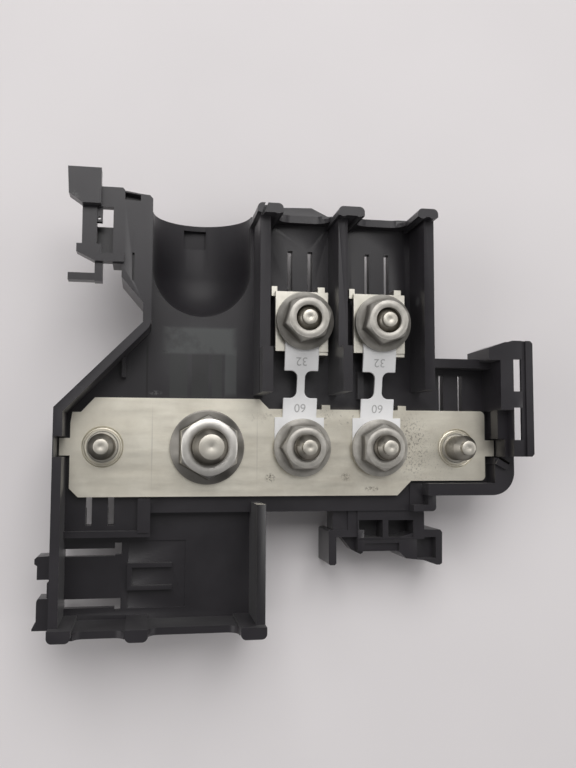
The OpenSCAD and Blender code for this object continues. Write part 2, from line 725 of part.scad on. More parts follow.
module stud(x, y, r, tip_r, tip_z) {
    head_r = r + head_rim;
    shank_r = r + shank_rim;
    low = deck_under - head_t;
    edge = 0.3;
    taper_z = tip_z - 2.4;
    neck_z = tip_z - 1.2;
    color([0.75, 0.75, 0.73]) in_frame() translate([x, y, 0]) rotate_extrude() polygon([
        [0, low], [head_r - edge, low], [head_r, low + edge], [head_r, deck_under], [shank_r, deck_under],
        [shank_r, busbar_top], [r, busbar_top], [r, taper_z], [tip_r, neck_z], [tip_r, tip_z - edge],
        [tip_r - edge, tip_z], [0, tip_z]
    ]);
}

// Hexagon nut with a conical flange and a countersunk thread
module flange_nut(x, y, seat_z, bore_r, flats, flange_d, h, turn) {
    corner_r = flats / sqrt(3);
    flange_r = flange_d / 2;
    cone_z = flange_rim_t + 1.4;
    edge = 0.2;
    sink = 0.45;
    color([0.72, 0.71, 0.67]) in_frame() translate([x, y, seat_z]) difference() {
        union() {
            rotate_extrude() polygon([
                [0, 0], [flange_r - edge, 0], [flange_r, edge], [flange_r, flange_rim_t - edge],
                [flange_r - edge, flange_rim_t], [flats / 2, cone_z], [0, cone_z]
            ]);
            intersection() {
                rotate([0, 0, turn]) cylinder(r = corner_r, h = h, $fn = 6);
                rotate_extrude() polygon([
                    [0, 0], [corner_r + 1, 0], [corner_r + 1, h - 1.2], [flats / 2 - 0.1, h], [0, h]
                ]);
            }
        }
        translate([0, 0, -over]) cylinder(r = bore_r, h = h + 2 * over);
        translate([0, 0, h]) rotate_extrude() polygon([
            [0, -1], [bore_r, -sink], [bore_r + sink, 0], [bore_r + sink, 1], [0, 1]
        ]);
    }
}

module main_stud() { stud(0, 0, main_r, main_tip_d / 2, busbar_top + main_rise); }

module left_stud() { stud(-left_x, 0, small_r, small_tip_d / 2, busbar_top + bare_rise); }

module right_stud() { stud(right_x, 0, small_r, small_tip_d / 2, busbar_top + bare_rise); }

module fuse_stud(x, y) { stud(x, y, small_r, small_tip_d / 2, busbar_top + fuse_rise); }

module small_nut(x, y, seat_z, turn) {
    flange_nut(x, y, seat_z, small_r + thread_gap, small_flats, small_flange_d, small_nut_h, turn);
}

module main_nut() {
    flange_nut(0, 0, busbar_top, main_r + thread_gap, main_flats, main_flange_d, main_nut_h, main_turn);
}

module bar_nut(x, turn) { small_nut(x, 0, busbar_top + fuse_t, turn); }

module terminal_nut(x, turn) { small_nut(x, fuse_span, terminal_top + fuse_t, turn); }

// ---- outgoing terminals and strip fuses ----

// Plate with tabs bent down over the edges of its block
module terminal_plate(x) {
    low = terminal_top - plate_t;
    tab_z = deck_z + 0.5;
    tab_t = 1.4;
    left = x - plate_shift - plate_w / 2;
    right = left + plate_w;
    front = fuse_span + plate_l / 2;
    back = fuse_span - plate_l / 2;
    inset = boss_inset - seat_gap;
    color([0.8, 0.79, 0.74]) in_frame() difference() {
        union() {
            block([left, back, low], [right, front, terminal_top]);
            block([left - 0.8, front - 1, tab_z], [left - 0.8 + tab_t, front + 1.4, low + 0.3]);
            block([right - 2.4, front - 1, tab_z], [right - 0.6, front + 1.4, low + 0.6]);
            block([right - 2.8, back - 0.8, tab_z], [right, back + 0.4, terminal_top - 0.3]);
        }
        translate([x, fuse_span, low - over]) cylinder(r = small_r + hole_gap, h = plate_t + 2 * over);
        // the block fills the space under the plate
        block([left + inset, back + inset, 0], [right - inset, front - inset, low]);
    }
}

// Notch beside a strip's neck
module neck_notch() {
    fillet = 1.6;
    half = shoulder_w / 2;
    translate([-half, fillet - neck_l / 2]) square([shoulder_w, neck_l - 2 * fillet]);
    translate([fillet - half, -neck_l / 2]) square([shoulder_w - fillet, neck_l]);
    for (end = [-1, 1]) translate([fillet - half, end * (neck_l / 2 - fillet)]) circle(fillet);
}

// Plan of a strip: rounded ends, a square foot, shoulders and a waisted neck
module strip_plan() {
    end_r = fuse_end_w / 2;
    notch_x = (neck_w + shoulder_w) / 2;
    difference() {
        union() {
            for (y = [0, fuse_span]) translate([0, y]) circle(end_r);
            translate([-end_r, 0]) square([fuse_end_w, foot_l]);
            translate([-shoulder_w / 2, 0]) square([shoulder_w, fuse_span]);
        }
        for (y = [0, fuse_span]) translate([strip_shift, y]) circle(small_r + strip_gap);
        translate([notch_x, fuse_span / 2]) neck_notch();
        mirror([1, 0]) translate([notch_x, fuse_span / 2]) neck_notch();
    }
}

// Side view of a strip: flat on the busbar, sloped in the middle, flat on the terminal
module strip_side() {
    low = busbar_top;
    high = terminal_top;
    bend_1 = 7.2;
    bend_2 = fuse_span - 7.6;
    start = -fuse_end_w;
    end = fuse_span + fuse_end_w;
    points = [
        [start, low], [bend_1, low], [bend_2, high], [end, high], [end, high + fuse_t], [bend_2, high + fuse_t],
        [bend_1, low + fuse_t], [start, low + fuse_t]
    ];
    rotate([90, 0, 90]) linear_extrude(2 * fuse_end_w, center = true) polygon(points);
}

module strip_fuse(x) {
    color([0.9, 0.9, 0.9]) in_frame() translate([x - strip_shift, 0, 0]) intersection() {
        linear_extrude(terminal_top + 2 * fuse_t) strip_plan();
        strip_side();
    }
}

base();
busbar();
main_stud();
left_stud();
right_stud();
fuse_stud(fuse_1_x, 0);  // fuse_1_bar_stud
fuse_stud(fuse_1_x, fuse_span);  // fuse_1_terminal_stud
fuse_stud(fuse_2_x, 0);  // fuse_2_bar_stud
fuse_stud(fuse_2_x, fuse_span);  // fuse_2_terminal_stud
terminal_plate(fuse_1_x);  // terminal_plate_1
terminal_plate(fuse_2_x);  // terminal_plate_2
strip_fuse(fuse_1_x);  // strip_fuse_1
strip_fuse(fuse_2_x);  // strip_fuse_2
main_nut();
bar_nut(fuse_1_x, bar_turn_1);  // fuse_1_bar_nut
terminal_nut(fuse_1_x, terminal_turn_1);  // fuse_1_terminal_nut
bar_nut(fuse_2_x, bar_turn_2);  // fuse_2_bar_nut
terminal_nut(fuse_2_x, terminal_turn_2);  // fuse_2_terminal_nut
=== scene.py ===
# Battery fuse carrier on pale paper: moulded base, busbar, studs, strip fuses and flange nuts
import bmesh
import bpy
import numpy as np
from mathutils import Matrix, Vector


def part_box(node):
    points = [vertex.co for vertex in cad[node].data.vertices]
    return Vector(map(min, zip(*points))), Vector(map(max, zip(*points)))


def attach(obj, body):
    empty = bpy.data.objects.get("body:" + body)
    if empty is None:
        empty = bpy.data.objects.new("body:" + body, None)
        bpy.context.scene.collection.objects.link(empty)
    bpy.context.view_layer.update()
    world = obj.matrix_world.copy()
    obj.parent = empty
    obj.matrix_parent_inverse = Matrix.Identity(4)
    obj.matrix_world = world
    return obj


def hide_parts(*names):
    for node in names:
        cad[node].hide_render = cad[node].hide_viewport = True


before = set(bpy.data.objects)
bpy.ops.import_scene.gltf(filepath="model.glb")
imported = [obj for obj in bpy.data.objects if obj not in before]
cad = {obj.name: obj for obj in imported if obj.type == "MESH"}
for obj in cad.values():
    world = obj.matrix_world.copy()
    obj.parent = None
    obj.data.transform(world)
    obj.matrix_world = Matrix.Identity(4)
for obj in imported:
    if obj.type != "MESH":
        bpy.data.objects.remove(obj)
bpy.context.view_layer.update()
scene = bpy.context.scene
mm = 0.001  # the scene is in metres


# small helpers for node trees: each returns the output that carries its result

def newMaterial(name):
    # an empty node tree with a Principled shader and Object coordinates
    mat = bpy.data.materials.new(name)
    mat.use_nodes = True
    tree = mat.node_tree
    tree.nodes.clear()
    out = tree.nodes.new("ShaderNodeOutputMaterial")
    shader = tree.nodes.new("ShaderNodeBsdfPrincipled")
    coord = tree.nodes.new("ShaderNodeTexCoord")
    tree.links.new(shader.outputs[0], out.inputs[0])
    return mat, tree, shader, coord.outputs["Object"]


def feedSocket(tree, socket, value):
    # links another node's output to the socket, or sets a number or a colour on it
    if hasattr(value, "is_linked"):
        tree.links.new(value, socket)
    else:
        socket.default_value = value if np.isscalar(value) else (*value, 1)


def noiseNode(tree, coord, scale, detail, rough, stretch=(1, 1, 1)):
    # noise over Object coordinates, drawn out along each axis whose stretch is below one
    mapping = tree.nodes.new("ShaderNodeMapping")
    mapping.inputs["Scale"].default_value = stretch
    noise = tree.nodes.new("ShaderNodeTexNoise")
    noise.inputs["Scale"].default_value = scale
    noise.inputs["Detail"].default_value = detail
    noise.inputs["Roughness"].default_value = rough
    tree.links.new(coord, mapping.inputs["Vector"])
    tree.links.new(mapping.outputs[0], noise.inputs["Vector"])
    return noise.outputs["Fac"]


def rampNode(tree, fac, stops):
    # grey against the factor, straight between two stops of place and grey and level outside them
    ramp = tree.nodes.new("ShaderNodeValToRGB")
    for element, (place, grey) in zip(ramp.color_ramp.elements, stops):
        element.position = place
        element.color = (grey, grey, grey, 1)
    tree.links.new(fac, ramp.inputs["Fac"])
    return ramp.outputs["Color"]


def mixNode(tree, fac, first, second):
    # the first colour where the factor is nought, the second where it is one
    mix = tree.nodes.new("ShaderNodeMix")
    mix.data_type = "RGBA"
    for place, value in ((0, fac), (6, first), (7, second)):  # the places of the factor and the two colours
        feedSocket(tree, mix.inputs[place], value)
    return mix.outputs[2]


def bumpNode(tree, height, strength, distance):
    # a normal tilted by the slope of the height
    bump = tree.nodes.new("ShaderNodeBump")
    bump.inputs["Strength"].default_value = strength
    bump.inputs["Distance"].default_value = distance
    tree.links.new(height, bump.inputs["Height"])
    return bump.outputs["Normal"]


def mathNode(tree, operation, first, second):
    # one sum, product or other operation on two values
    node = tree.nodes.new("ShaderNodeMath")
    node.operation = operation
    for socket, value in zip(node.inputs, (first, second)):
        feedSocket(tree, socket, value)
    return node.outputs[0]


def blobMask(tree, coord, centre, half, firm=0.3, square=False):
    # one inside an ellipsoid or a box about a point, its centre and half sizes in millimetres; from the firm
    # share of the half sizes it falls smoothly to nothing at their ends
    mapping = tree.nodes.new("ShaderNodeMapping")
    mapping.inputs["Scale"].default_value = [1 / (h * mm) for h in half]
    mapping.inputs["Location"].default_value = [-c / h for c, h in zip(centre, half)]
    tree.links.new(coord, mapping.inputs["Vector"])
    measure = tree.nodes.new("ShaderNodeVectorMath")
    measure.operation = "ABSOLUTE" if square else "LENGTH"
    tree.links.new(mapping.outputs[0], measure.inputs[0])
    if square:
        parts = tree.nodes.new("ShaderNodeSeparateXYZ")
        tree.links.new(measure.outputs[0], parts.inputs[0])
        sideways = mathNode(tree, "MAXIMUM", parts.outputs[0], parts.outputs[1])
        away = mathNode(tree, "MAXIMUM", sideways, parts.outputs[2])
    else:
        away = measure.outputs["Value"]
    fade = tree.nodes.new("ShaderNodeMapRange")
    fade.interpolation_type = "SMOOTHSTEP"
    fade.inputs["From Min"].default_value = 1.0
    fade.inputs["From Max"].default_value = firm
    tree.links.new(away, fade.inputs["Value"])
    return fade.outputs[0]


markDefaults = {"firm": 0.3, "square": False, "cut": (0.45, 0.6), "stretch": (1, 1, 1), "detail": 4,
                "rough": 0.65}


def marksOver(tree, coord, colour, marks):
    # lays each mark's colour over what is there: a blob, broken up by noise where it has a grain
    for given in marks:
        mark = {**markDefaults, **given}
        blob = blobMask(tree, coord, mark["at"], mark["half"], mark["firm"], mark["square"])
        mask = mathNode(tree, "MULTIPLY", blob, mark["strength"])
        if "grain" in mark:
            noise = noiseNode(tree, coord, mark["grain"], mark["detail"], mark["rough"], mark["stretch"])
            low, high = mark["cut"]
            mask = mathNode(tree, "MULTIPLY", mask, rampNode(tree, noise, [(low, 0.0), (high, 1.0)]))
        colour = mixNode(tree, mask, colour, mark["colour"])
    return colour


# small helpers for meshes

def finishPiece(obj, material, node):
    # gives a new piece its material, hides the imported node that it replaces and hangs the piece on the
    # root body
    obj.data.materials.clear()
    obj.data.materials.append(material)
    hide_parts(node)
    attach(obj, "root")


def gridPiece(name, points, closeRows=True):
    # a mesh from an array of rows of points, each row a closed ring: a closed set of rows joins its ends,
    # and an open one gets a pole at the middle of its first row and of its last
    rows, cols = points.shape[:2]
    index = np.arange(rows * cols).reshape(rows, cols)
    right = np.roll(index, -1, axis=1)
    if closeRows:
        above = np.roll(index, -1, axis=0)
        rightAbove = np.roll(right, -1, axis=0)
        verts = points.reshape(-1, 3)
        faces = np.stack([index, right, rightAbove, above], axis=-1).reshape(-1, 4).tolist()
    else:
        lowPole, highPole = rows * cols, rows * cols + 1
        verts = np.vstack([points.reshape(-1, 3), points[0].mean(axis=0), points[-1].mean(axis=0)])
        quads = np.stack([index[:-1], right[:-1], right[1:], index[1:]], axis=-1).reshape(-1, 4)
        bottom = np.stack([right[0], index[0], np.full(cols, lowPole)], axis=-1)
        top = np.stack([index[-1], right[-1], np.full(cols, highPole)], axis=-1)
        faces = quads.tolist() + bottom.tolist() + top.tolist()
    mesh = bpy.data.meshes.new(name)
    mesh.from_pydata(verts.tolist(), [], faces)
    mesh.validate()
    obj = bpy.data.objects.new(name, mesh)
    scene.collection.objects.link(obj)
    return obj


def smoothByAngle(obj, degrees):
    # smooth shading, with an edge left sharp where its faces turn by more than the angle
    obj.data.shade_smooth()
    obj.data.set_sharp_from_angle(angle=np.radians(degrees))


def paintShade(obj, shade):
    # keeps a value for each vertex, which the metals read as how much painted shade, and on the studs old
    # grease, darkens it there
    values = obj.data.attributes.new("shade", "FLOAT", "POINT")
    values.data.foreach_set("value", shade.astype(np.float32))


def uprightNode(node):
    # centre, widest radius, foot and top of a round upright node, from its box
    low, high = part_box(node)
    return (low.x + high.x) / 2, (low.y + high.y) / 2, (high.x - low.x) / 2, low.z, high.z


def turnedPoints(centreX, centreY, radius, angle, height):
    # rows of points round an upright axis: radius times cosine and sine of the angle, and the row's height
    return np.stack([centreX + radius * np.cos(angle), centreY + radius * np.sin(angle),
                     height[:, None] + 0 * radius], axis=-1)


# materials: broad clouds between two close colours, marks over them, and fine grain or brushing as bump

cloudCut = [(0.3, 0.0), (0.7, 1.0)]  # where the noise goes from the first colour to the second

plasticMarks = [
    # lighter, streaked floor of the cable channel, painted light on its pale panels and painted shade on its
    # dark ones in place of its ribs, painted shade along the step on its left, and a dark spot
    {"at": (-21, 11, 13), "half": (13, 13, 3), "strength": 0.75, "grain": 90, "stretch": (1, 0.3, 1),
     "cut": (0.25, 0.7), "colour": (0.066, 0.066, 0.070)},
    {"at": (-21.6, 15.4, 13), "half": (9.4, 3.6, 1), "strength": 0.8, "firm": 0.74, "square": True,
     "grain": 200, "cut": (0.2, 0.5), "colour": (0.082, 0.088, 0.088)},
    {"at": (-14.2, 8, 13), "half": (1.6, 6.5, 1), "strength": 0.6, "firm": 0.7, "square": True,
     "colour": (0.072, 0.078, 0.078)},
    {"at": (-26.6, 7, 13), "half": (2.2, 5.4, 1), "strength": 0.7, "firm": 0.9, "square": True,
     "colour": (0.034, 0.037, 0.036)},
    {"at": (-21.5, 7, 13), "half": (2.1, 5.4, 1), "strength": 0.8, "firm": 0.9, "square": True,
     "colour": (0.026, 0.027, 0.027)},
    {"at": (-17.5, 7, 13), "half": (1.25, 5.4, 1), "strength": 0.7, "firm": 0.88, "square": True,
     "colour": (0.034, 0.037, 0.036)},
    {"at": (-34.0, 8, 13), "half": (0.3, 8.2, 1.2), "strength": 1.0, "firm": 0.6, "square": True,
     "colour": (0.004, 0.004, 0.005)},
    {"at": (-29.9, 12.3, 13), "half": (0.9, 1.0, 1), "strength": 0.8, "grain": 900,
     "colour": (0.01, 0.01, 0.01)},
    # painted highlight on the trough's rim at its mouth, a lighter cloud in the trough that is partly dust
    # and partly painted light, painted light lifting the shaded floor under the fuses, and dust beside the
    # busbar
    {"at": (-9.6, 43.5, 22), "half": (2.2, 6, 4), "strength": 0.5, "colour": (0.16, 0.155, 0.16)},
    {"at": (-21.2, 42, 18), "half": (16, 20, 15), "strength": 0.9, "grain": 60, "cut": (0.1, 0.6),
     "colour": (0.115, 0.108, 0.112)},
    {"at": (10, 5, 13), "half": (22, 14, 3), "strength": 0.6, "grain": 120, "cut": (0.2, 0.7),
     "colour": (0.085, 0.085, 0.09)},
    {"at": (-31.9, 2.8, 13), "half": (1.9, 0.7, 1), "strength": 0.8, "grain": 700,
     "colour": (0.16, 0.16, 0.16)},
    # rubbed spots on a bay wall and on the hinge bracket
    {"at": (30.7, 25.6, 19), "half": (1.2, 1.5, 2.2), "strength": 0.5, "colour": (0.10, 0.10, 0.105)},
    {"at": (-50.6, 45.5, 26.5), "half": (1.6, 1.6, 1.5), "strength": 0.6, "grain": 1500,
     "colour": (0.12, 0.12, 0.12)},
    # painted shade darkening the lower tray's right wall, and a worn spot at its foot
    {"at": (-7.2, -30, 24), "half": (3.4, 24, 9), "strength": 0.9, "firm": 0.6,
     "colour": (0.007, 0.0062, 0.0078)},
    {"at": (-10.2, -47, 12), "half": (2.4, 1.2, 2), "strength": 0.6, "grain": 900,
     "colour": (0.10, 0.095, 0.10)},
    # fine specks on the left walls and on the bays' rims
    {"at": (-48, 10, 22), "half": (9, 22, 6), "strength": 0.35, "grain": 1200, "cut": (0.55, 0.75),
     "colour": (0.10, 0.10, 0.10)},
    {"at": (5, 48, 22), "half": (34, 10, 8), "strength": 0.45, "grain": 1400, "cut": (0.58, 0.75),
     "colour": (0.12, 0.12, 0.12)}]

plasticLook = {
    "dark": (0.014, 0.0125, 0.0155), "light": (0.021, 0.019, 0.023), "cloudScale": 60, "marks": plasticMarks,
    "roughness": 0.34, "glossier": 0.06, "duller": 0.08,
    "dullAt": (-21.2, 40, 8), "dullHalf": (17, 24, 24), "dullRoughness": 0.62,  # the trough is duller
    "grain": 0.25, "grainScale": 2600, "grainHeight": 0.04 * mm, "dust": 0.1, "dustSpread": 0.35}


def plasticMaterial(name, look):
    # cloudy black, rougher where the clouds are light and in the trough, with a fine moulded grain and dust
    mat, tree, shader, coord = newMaterial(name)
    cloud = noiseNode(tree, coord, look["cloudScale"], detail=4, rough=0.6)
    grain = noiseNode(tree, coord, look["grainScale"], detail=2, rough=0.5)
    colour = mixNode(tree, rampNode(tree, cloud, cloudCut), look["dark"], look["light"])
    colour = marksOver(tree, coord, colour, look["marks"])
    rough = rampNode(tree, cloud, [(0.25, look["roughness"] - look["glossier"]),
                                   (0.75, look["roughness"] + look["duller"])])
    dull = blobMask(tree, coord, look["dullAt"], look["dullHalf"])
    rough = mixNode(tree, dull, rough, (look["dullRoughness"],) * 3)
    tree.links.new(colour, shader.inputs["Base Color"])
    tree.links.new(rough, shader.inputs["Roughness"])
    tree.links.new(bumpNode(tree, grain, look["grain"], look["grainHeight"]), shader.inputs["Normal"])
    shader.inputs["Sheen Weight"].default_value = look["dust"]
    shader.inputs["Sheen Roughness"].default_value = look["dustSpread"]
    return mat


metalBrush = {"scale": 500, "height": 0.02 * mm, "glossier": 0.05, "duller": 0.1}


def metalMaterial(name, look):
    # cloudy metal, brushed along the axis that the stretch draws out, darker where its shade is high
    mat, tree, shader, coord = newMaterial(name)
    cloud = noiseNode(tree, coord, look["cloudScale"], detail=5, rough=0.6)
    brushed = noiseNode(tree, coord, metalBrush["scale"], detail=3, rough=0.6, stretch=look["stretch"])
    colour = mixNode(tree, rampNode(tree, cloud, cloudCut), look["dull"], look["bright"])
    colour = marksOver(tree, coord, colour, look.get("marks", []))
    if "shade" in look:
        worn = tree.nodes.new("ShaderNodeAttribute")
        worn.attribute_name = "shade"
        colour = mixNode(tree, worn.outputs["Fac"], colour, look["shade"])
    rough = rampNode(tree, brushed, [(0.2, look["roughness"] - metalBrush["glossier"]),
                                     (0.8, look["roughness"] + metalBrush["duller"])])
    shader.inputs["Metallic"].default_value = look.get("metallic", 1.0)
    tree.links.new(colour, shader.inputs["Base Color"])
    tree.links.new(rough, shader.inputs["Roughness"])
    tree.links.new(bumpNode(tree, brushed, look["bump"], metalBrush["height"]), shader.inputs["Normal"])
    return mat


grime = (0.10, 0.075, 0.055)
# colour of the painted shade along the busbar's creases
creaseShade = (0.50, 0.47, 0.41)
busbarMarks = [
    # spots of grime along the lower edge
    {"at": (-4.8, -17.2, 15), "half": (1.6, 1.4, 1), "strength": 0.8, "grain": 2200, "colour": grime},
    {"at": (13.5, -17.0, 15), "half": (1.6, 1.4, 1), "strength": 0.8, "grain": 2200, "colour": grime},
    {"at": (20.2, -19.9, 15), "half": (2.6, 0.8, 1), "strength": 0.8, "grain": 1600, "colour": grime},
    # specks round the right fuse's nut and along the upper edge
    {"at": (30.4, -9.7, 15), "half": (5.5, 10, 1), "strength": 0.7, "grain": 1600, "cut": (0.525, 0.63),
     "colour": grime},
    {"at": (34, -12, 15), "half": (11, 11, 1), "strength": 0.35, "grain": 2400, "cut": (0.56, 0.68),
     "colour": grime},
    {"at": (21.8, -9.9, 15), "half": (9.5, 9.5, 1), "strength": 0.45, "grain": 500, "cut": (0.4, 0.65),
     "colour": (0.30, 0.27, 0.23)},
    {"at": (10, -3, 15), "half": (26, 3, 1), "strength": 0.5, "grain": 1500, "cut": (0.56, 0.68),
     "colour": grime},
    # painted shade along two faint creases across the plate
    {"at": (-32.6, -10, 15), "half": (0.22, 13, 1), "strength": 0.5, "firm": 0.0, "colour": creaseShade},
    {"at": (-7.95, -10, 15), "half": (0.22, 13, 1), "strength": 0.4, "firm": 0.0, "colour": creaseShade},
    # streaks along the plate and dull clouds on its right half
    {"at": (0, -10, 15), "half": (70, 22, 3), "strength": 0.35, "grain": 350, "stretch": (0.25, 1, 1),
     "cut": (0.5, 0.72), "colour": (0.55, 0.50, 0.41)},
    {"at": (20, -14, 15), "half": (40, 14, 3), "strength": 0.4, "grain": 160, "cut": (0.42, 0.7),
     "colour": (0.60, 0.55, 0.46)}]

blackPlastic = plasticMaterial("blackPlastic", plasticLook)
busbarTin = metalMaterial("busbarTin", {
    "dull": (0.76, 0.72, 0.615), "bright": (0.94, 0.905, 0.79), "cloudScale": 90, "roughness": 0.36,
    "stretch": (0.15, 1, 1), "bump": 0.12, "marks": busbarMarks})
studSteel = metalMaterial("studSteel", {
    "dull": (0.50, 0.475, 0.42), "bright": (0.66, 0.635, 0.57), "cloudScale": 300, "roughness": 0.42,
    "stretch": (1, 1, 0.3), "bump": 0.15, "shade": (0.10, 0.085, 0.065)})
nutSteel = metalMaterial("nutSteel", {
    "dull": (0.38, 0.365, 0.33), "bright": (0.56, 0.54, 0.50), "cloudScale": 400, "roughness": 0.4,
    "stretch": (1, 1, 0.4), "bump": 0.12, "metallic": 0.55, "shade": (0.12, 0.11, 0.095)})
terminalTin = metalMaterial("terminalTin", {
    "dull": (0.62, 0.60, 0.53), "bright": (0.76, 0.735, 0.665), "cloudScale": 220, "roughness": 0.37,
    "stretch": (1, 0.2, 1), "bump": 0.12})
fuseSilver = metalMaterial("fuseSilver", {
    "dull": (0.90, 0.905, 0.91), "bright": (0.97, 0.975, 0.98), "cloudScale": 150, "roughness": 0.4,
    "stretch": (1, 0.2, 1), "bump": 0.1, "metallic": 0.15})
mainNutSteel = metalMaterial("mainNutSteel", {
    "dull": (0.60, 0.585, 0.55), "bright": (0.78, 0.76, 0.72), "cloudScale": 250, "roughness": 0.38,
    "stretch": (1, 1, 0.4), "bump": 0.12, "shade": (0.13, 0.12, 0.105)})
stampedSilver = metalMaterial("stampedSilver", {
    "dull": (0.50, 0.50, 0.50), "bright": (0.62, 0.62, 0.62), "cloudScale": 900, "roughness": 0.5,
    "stretch": (1, 1, 1), "bump": 0.1, "metallic": 0.3})
print("materials ready")


# moulded base and stamped parts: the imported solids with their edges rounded

edgeLook = {"segments": 2, "sharpAngle": 32, "smoothAngle": 30, "flatAngle": 0.4, "weld": 0.002 * mm,
            "cornerReach": 0.03 * mm}


def roundedCopy(node, name, material, radius, corners=()):
    # a merged copy of the node's mesh, flat neighbours joined, with a bevel on every sharp edge;
    # upright edges that stand at a corner's old place move to its new one
    mesh = cad[node].data.copy()
    mesh.name = name
    flat = np.empty(len(mesh.vertices) * 3)
    mesh.vertices.foreach_get("co", flat)
    points = flat.reshape(-1, 3)
    for old, new in corners:
        there = np.all(np.abs(points[:, :2] - np.multiply(old, mm)) < edgeLook["cornerReach"], axis=1)
        points[there, :2] = np.multiply(new, mm)
    mesh.vertices.foreach_set("co", points.ravel())
    work = bmesh.new()
    work.from_mesh(mesh)
    bmesh.ops.remove_doubles(work, verts=work.verts, dist=edgeLook["weld"])
    bmesh.ops.dissolve_limit(work, angle_limit=np.radians(edgeLook["flatAngle"]), verts=work.verts,
                             edges=work.edges)
    work.to_mesh(mesh)
    work.free()
    obj = bpy.data.objects.new(name, mesh)
    scene.collection.objects.link(obj)
    smoothByAngle(obj, edgeLook["smoothAngle"])
    bevel = obj.modifiers.new("edges", "BEVEL")
    bevel.width = radius
    bevel.segments = edgeLook["segments"]
    bevel.limit_method = "ANGLE"
    bevel.angle_limit = np.radians(edgeLook["sharpAngle"])
    bevel.use_clamp_overlap = True
    bevel.harden_normals = True
    finishPiece(obj, material, node)


# the floor's corners are drawn in to the wide wall's, and the right bay's tall corner starts nearer the
# bracket; each pair is the old and the new x and y in millimetres
baseLook = {"edge": 0.22 * mm, "movedCorners": [
    ((-40.05, 25.8), (-40.05, 28.0)), ((-35.15, 21.4), (-35.15, 22.3)),
    ((43.65, 11.2), (46.9, 11.2)), ((43.65, 11.9), (46.9, 11.9)), ((43.65, 13.2), (46.9, 14.1))]}
busbarLook = {"edge": 0.35 * mm}
terminalLook = {"edge": 0.2 * mm}
fuseLook = {"edge": 0.12 * mm}

roundedCopy("base", "mouldedBase", blackPlastic, baseLook["edge"], baseLook["movedCorners"])
roundedCopy("busbar", "busbarPlate", busbarTin, busbarLook["edge"])
for number in (1, 2):
    roundedCopy(f"terminal_plate_{number}", f"terminalPlate{number}", terminalTin,
                terminalLook["edge"])
    roundedCopy(f"strip_fuse_{number}", f"stripFuse{number}", fuseSilver, fuseLook["edge"])
print("base, busbar, terminals and fuses ready")


# plain numbers stamped on the fuses: each text with its distance along the slanted stretch from the middle

stampLook = {"places": [("60", -5.3 * mm), ("32", 5.9 * mm)], "size": 2.9 * mm, "thickness": 0.01 * mm,
             "proud": 0.03 * mm}


def slopePlane(node):
    # middle and normal of the link's slanted stretch, averaged over its upper faces by area
    mesh = cad[node].data
    count = len(mesh.polygons)
    normal = np.empty(count * 3)
    centre = np.empty(count * 3)
    area = np.empty(count)
    mesh.polygons.foreach_get("normal", normal)
    mesh.polygons.foreach_get("center", centre)
    mesh.polygons.foreach_get("area", area)
    normal = normal.reshape(-1, 3)
    centre = centre.reshape(-1, 3)
    facesUp = normal[:, 2] > 0.9
    slants = np.abs(normal[:, 1]) > 0.1
    pick = facesUp & slants
    middle = Vector(np.average(centre[pick], axis=0, weights=area[pick]))
    return middle, Vector(np.average(normal[pick], axis=0, weights=area[pick])).normalized()


def stampedNumber(name, text, node, along):
    # flat figures laid on the slanted stretch, read from the terminal's side
    curve = bpy.data.curves.new(name, "FONT")
    curve.body = text
    curve.size = stampLook["size"]
    curve.align_x = "CENTER"
    curve.align_y = "CENTER"
    curve.extrude = stampLook["thickness"]
    source = bpy.data.objects.new(name + "Source", curve)
    scene.collection.objects.link(source)
    mesh = bpy.data.meshes.new_from_object(source.evaluated_get(bpy.context.evaluated_depsgraph_get()))
    bpy.data.objects.remove(source)
    middle, normal = slopePlane(node)
    across = Vector((-1, 0, 0))
    upward = normal.cross(across)
    place = middle - along * upward + normal * stampLook["proud"]
    mesh.transform(Matrix.Translation(place) @ Matrix((across, upward, normal)).transposed().to_4x4())
    mesh.name = name
    obj = bpy.data.objects.new(name, mesh)
    scene.collection.objects.link(obj)
    obj.data.materials.clear()
    obj.data.materials.append(stampedSilver)
    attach(obj, "root")


for number in (1, 2):
    for text, along in stampLook["places"]:
        stampedNumber(f"fuse{number}Stamp{text}", text, f"strip_fuse_{number}", along)
print("numbers ready")


# studs: a profile carried round an upright axis, with a helical groove cut into its threaded stretch

studLook = {
    "sides": 72, "rowsPerPitch": 12,
    "small": {"radius": 3 * mm, "tip": 1.8 * mm, "pitch": 1.0 * mm},
    "main": {"radius": 4 * mm, "tip": 2.9 * mm, "pitch": 1.25 * mm},
    "threadDepth": 0.36 * mm, "runIn": 0.3, "flankSlope": 1.3, "crest": 0.15,  # the run-in is in turns
    "headHeight": 2.5 * mm, "headEdge": 0.3 * mm, "shoulder": 0.5 * mm, "brokenEdge": 0.05 * mm,
    "step": 0.02 * mm, "endLength": 2.4 * mm, "endCone": 0.35 * mm, "tipLength": 1.2 * mm, "smoothAngle": 35,
    "tipEdge": [(0, 0.28 * mm), (0.12 * mm, 0.08 * mm), (0.3 * mm, 0)],  # inwards, down from the top
    "dimple": [(0.6 * mm, 0.02 * mm), (0.2 * mm, 0.14 * mm)],  # radius, down from the top
    # how dark the thread is painted: old grease with painted shade, more in a nut's bore, and the groove's
    # share painted shade
    "inNutGreaseAndShade": 1.0, "bareGreaseAndShade": 0.75, "crestDarkening": 0.7, "grooveShade": 0.3,
    "greaseShadeTop": 0.5 * mm, "greaseShadeFade": 0.9 * mm, "greaseShadeFoot": 0.5 * mm}


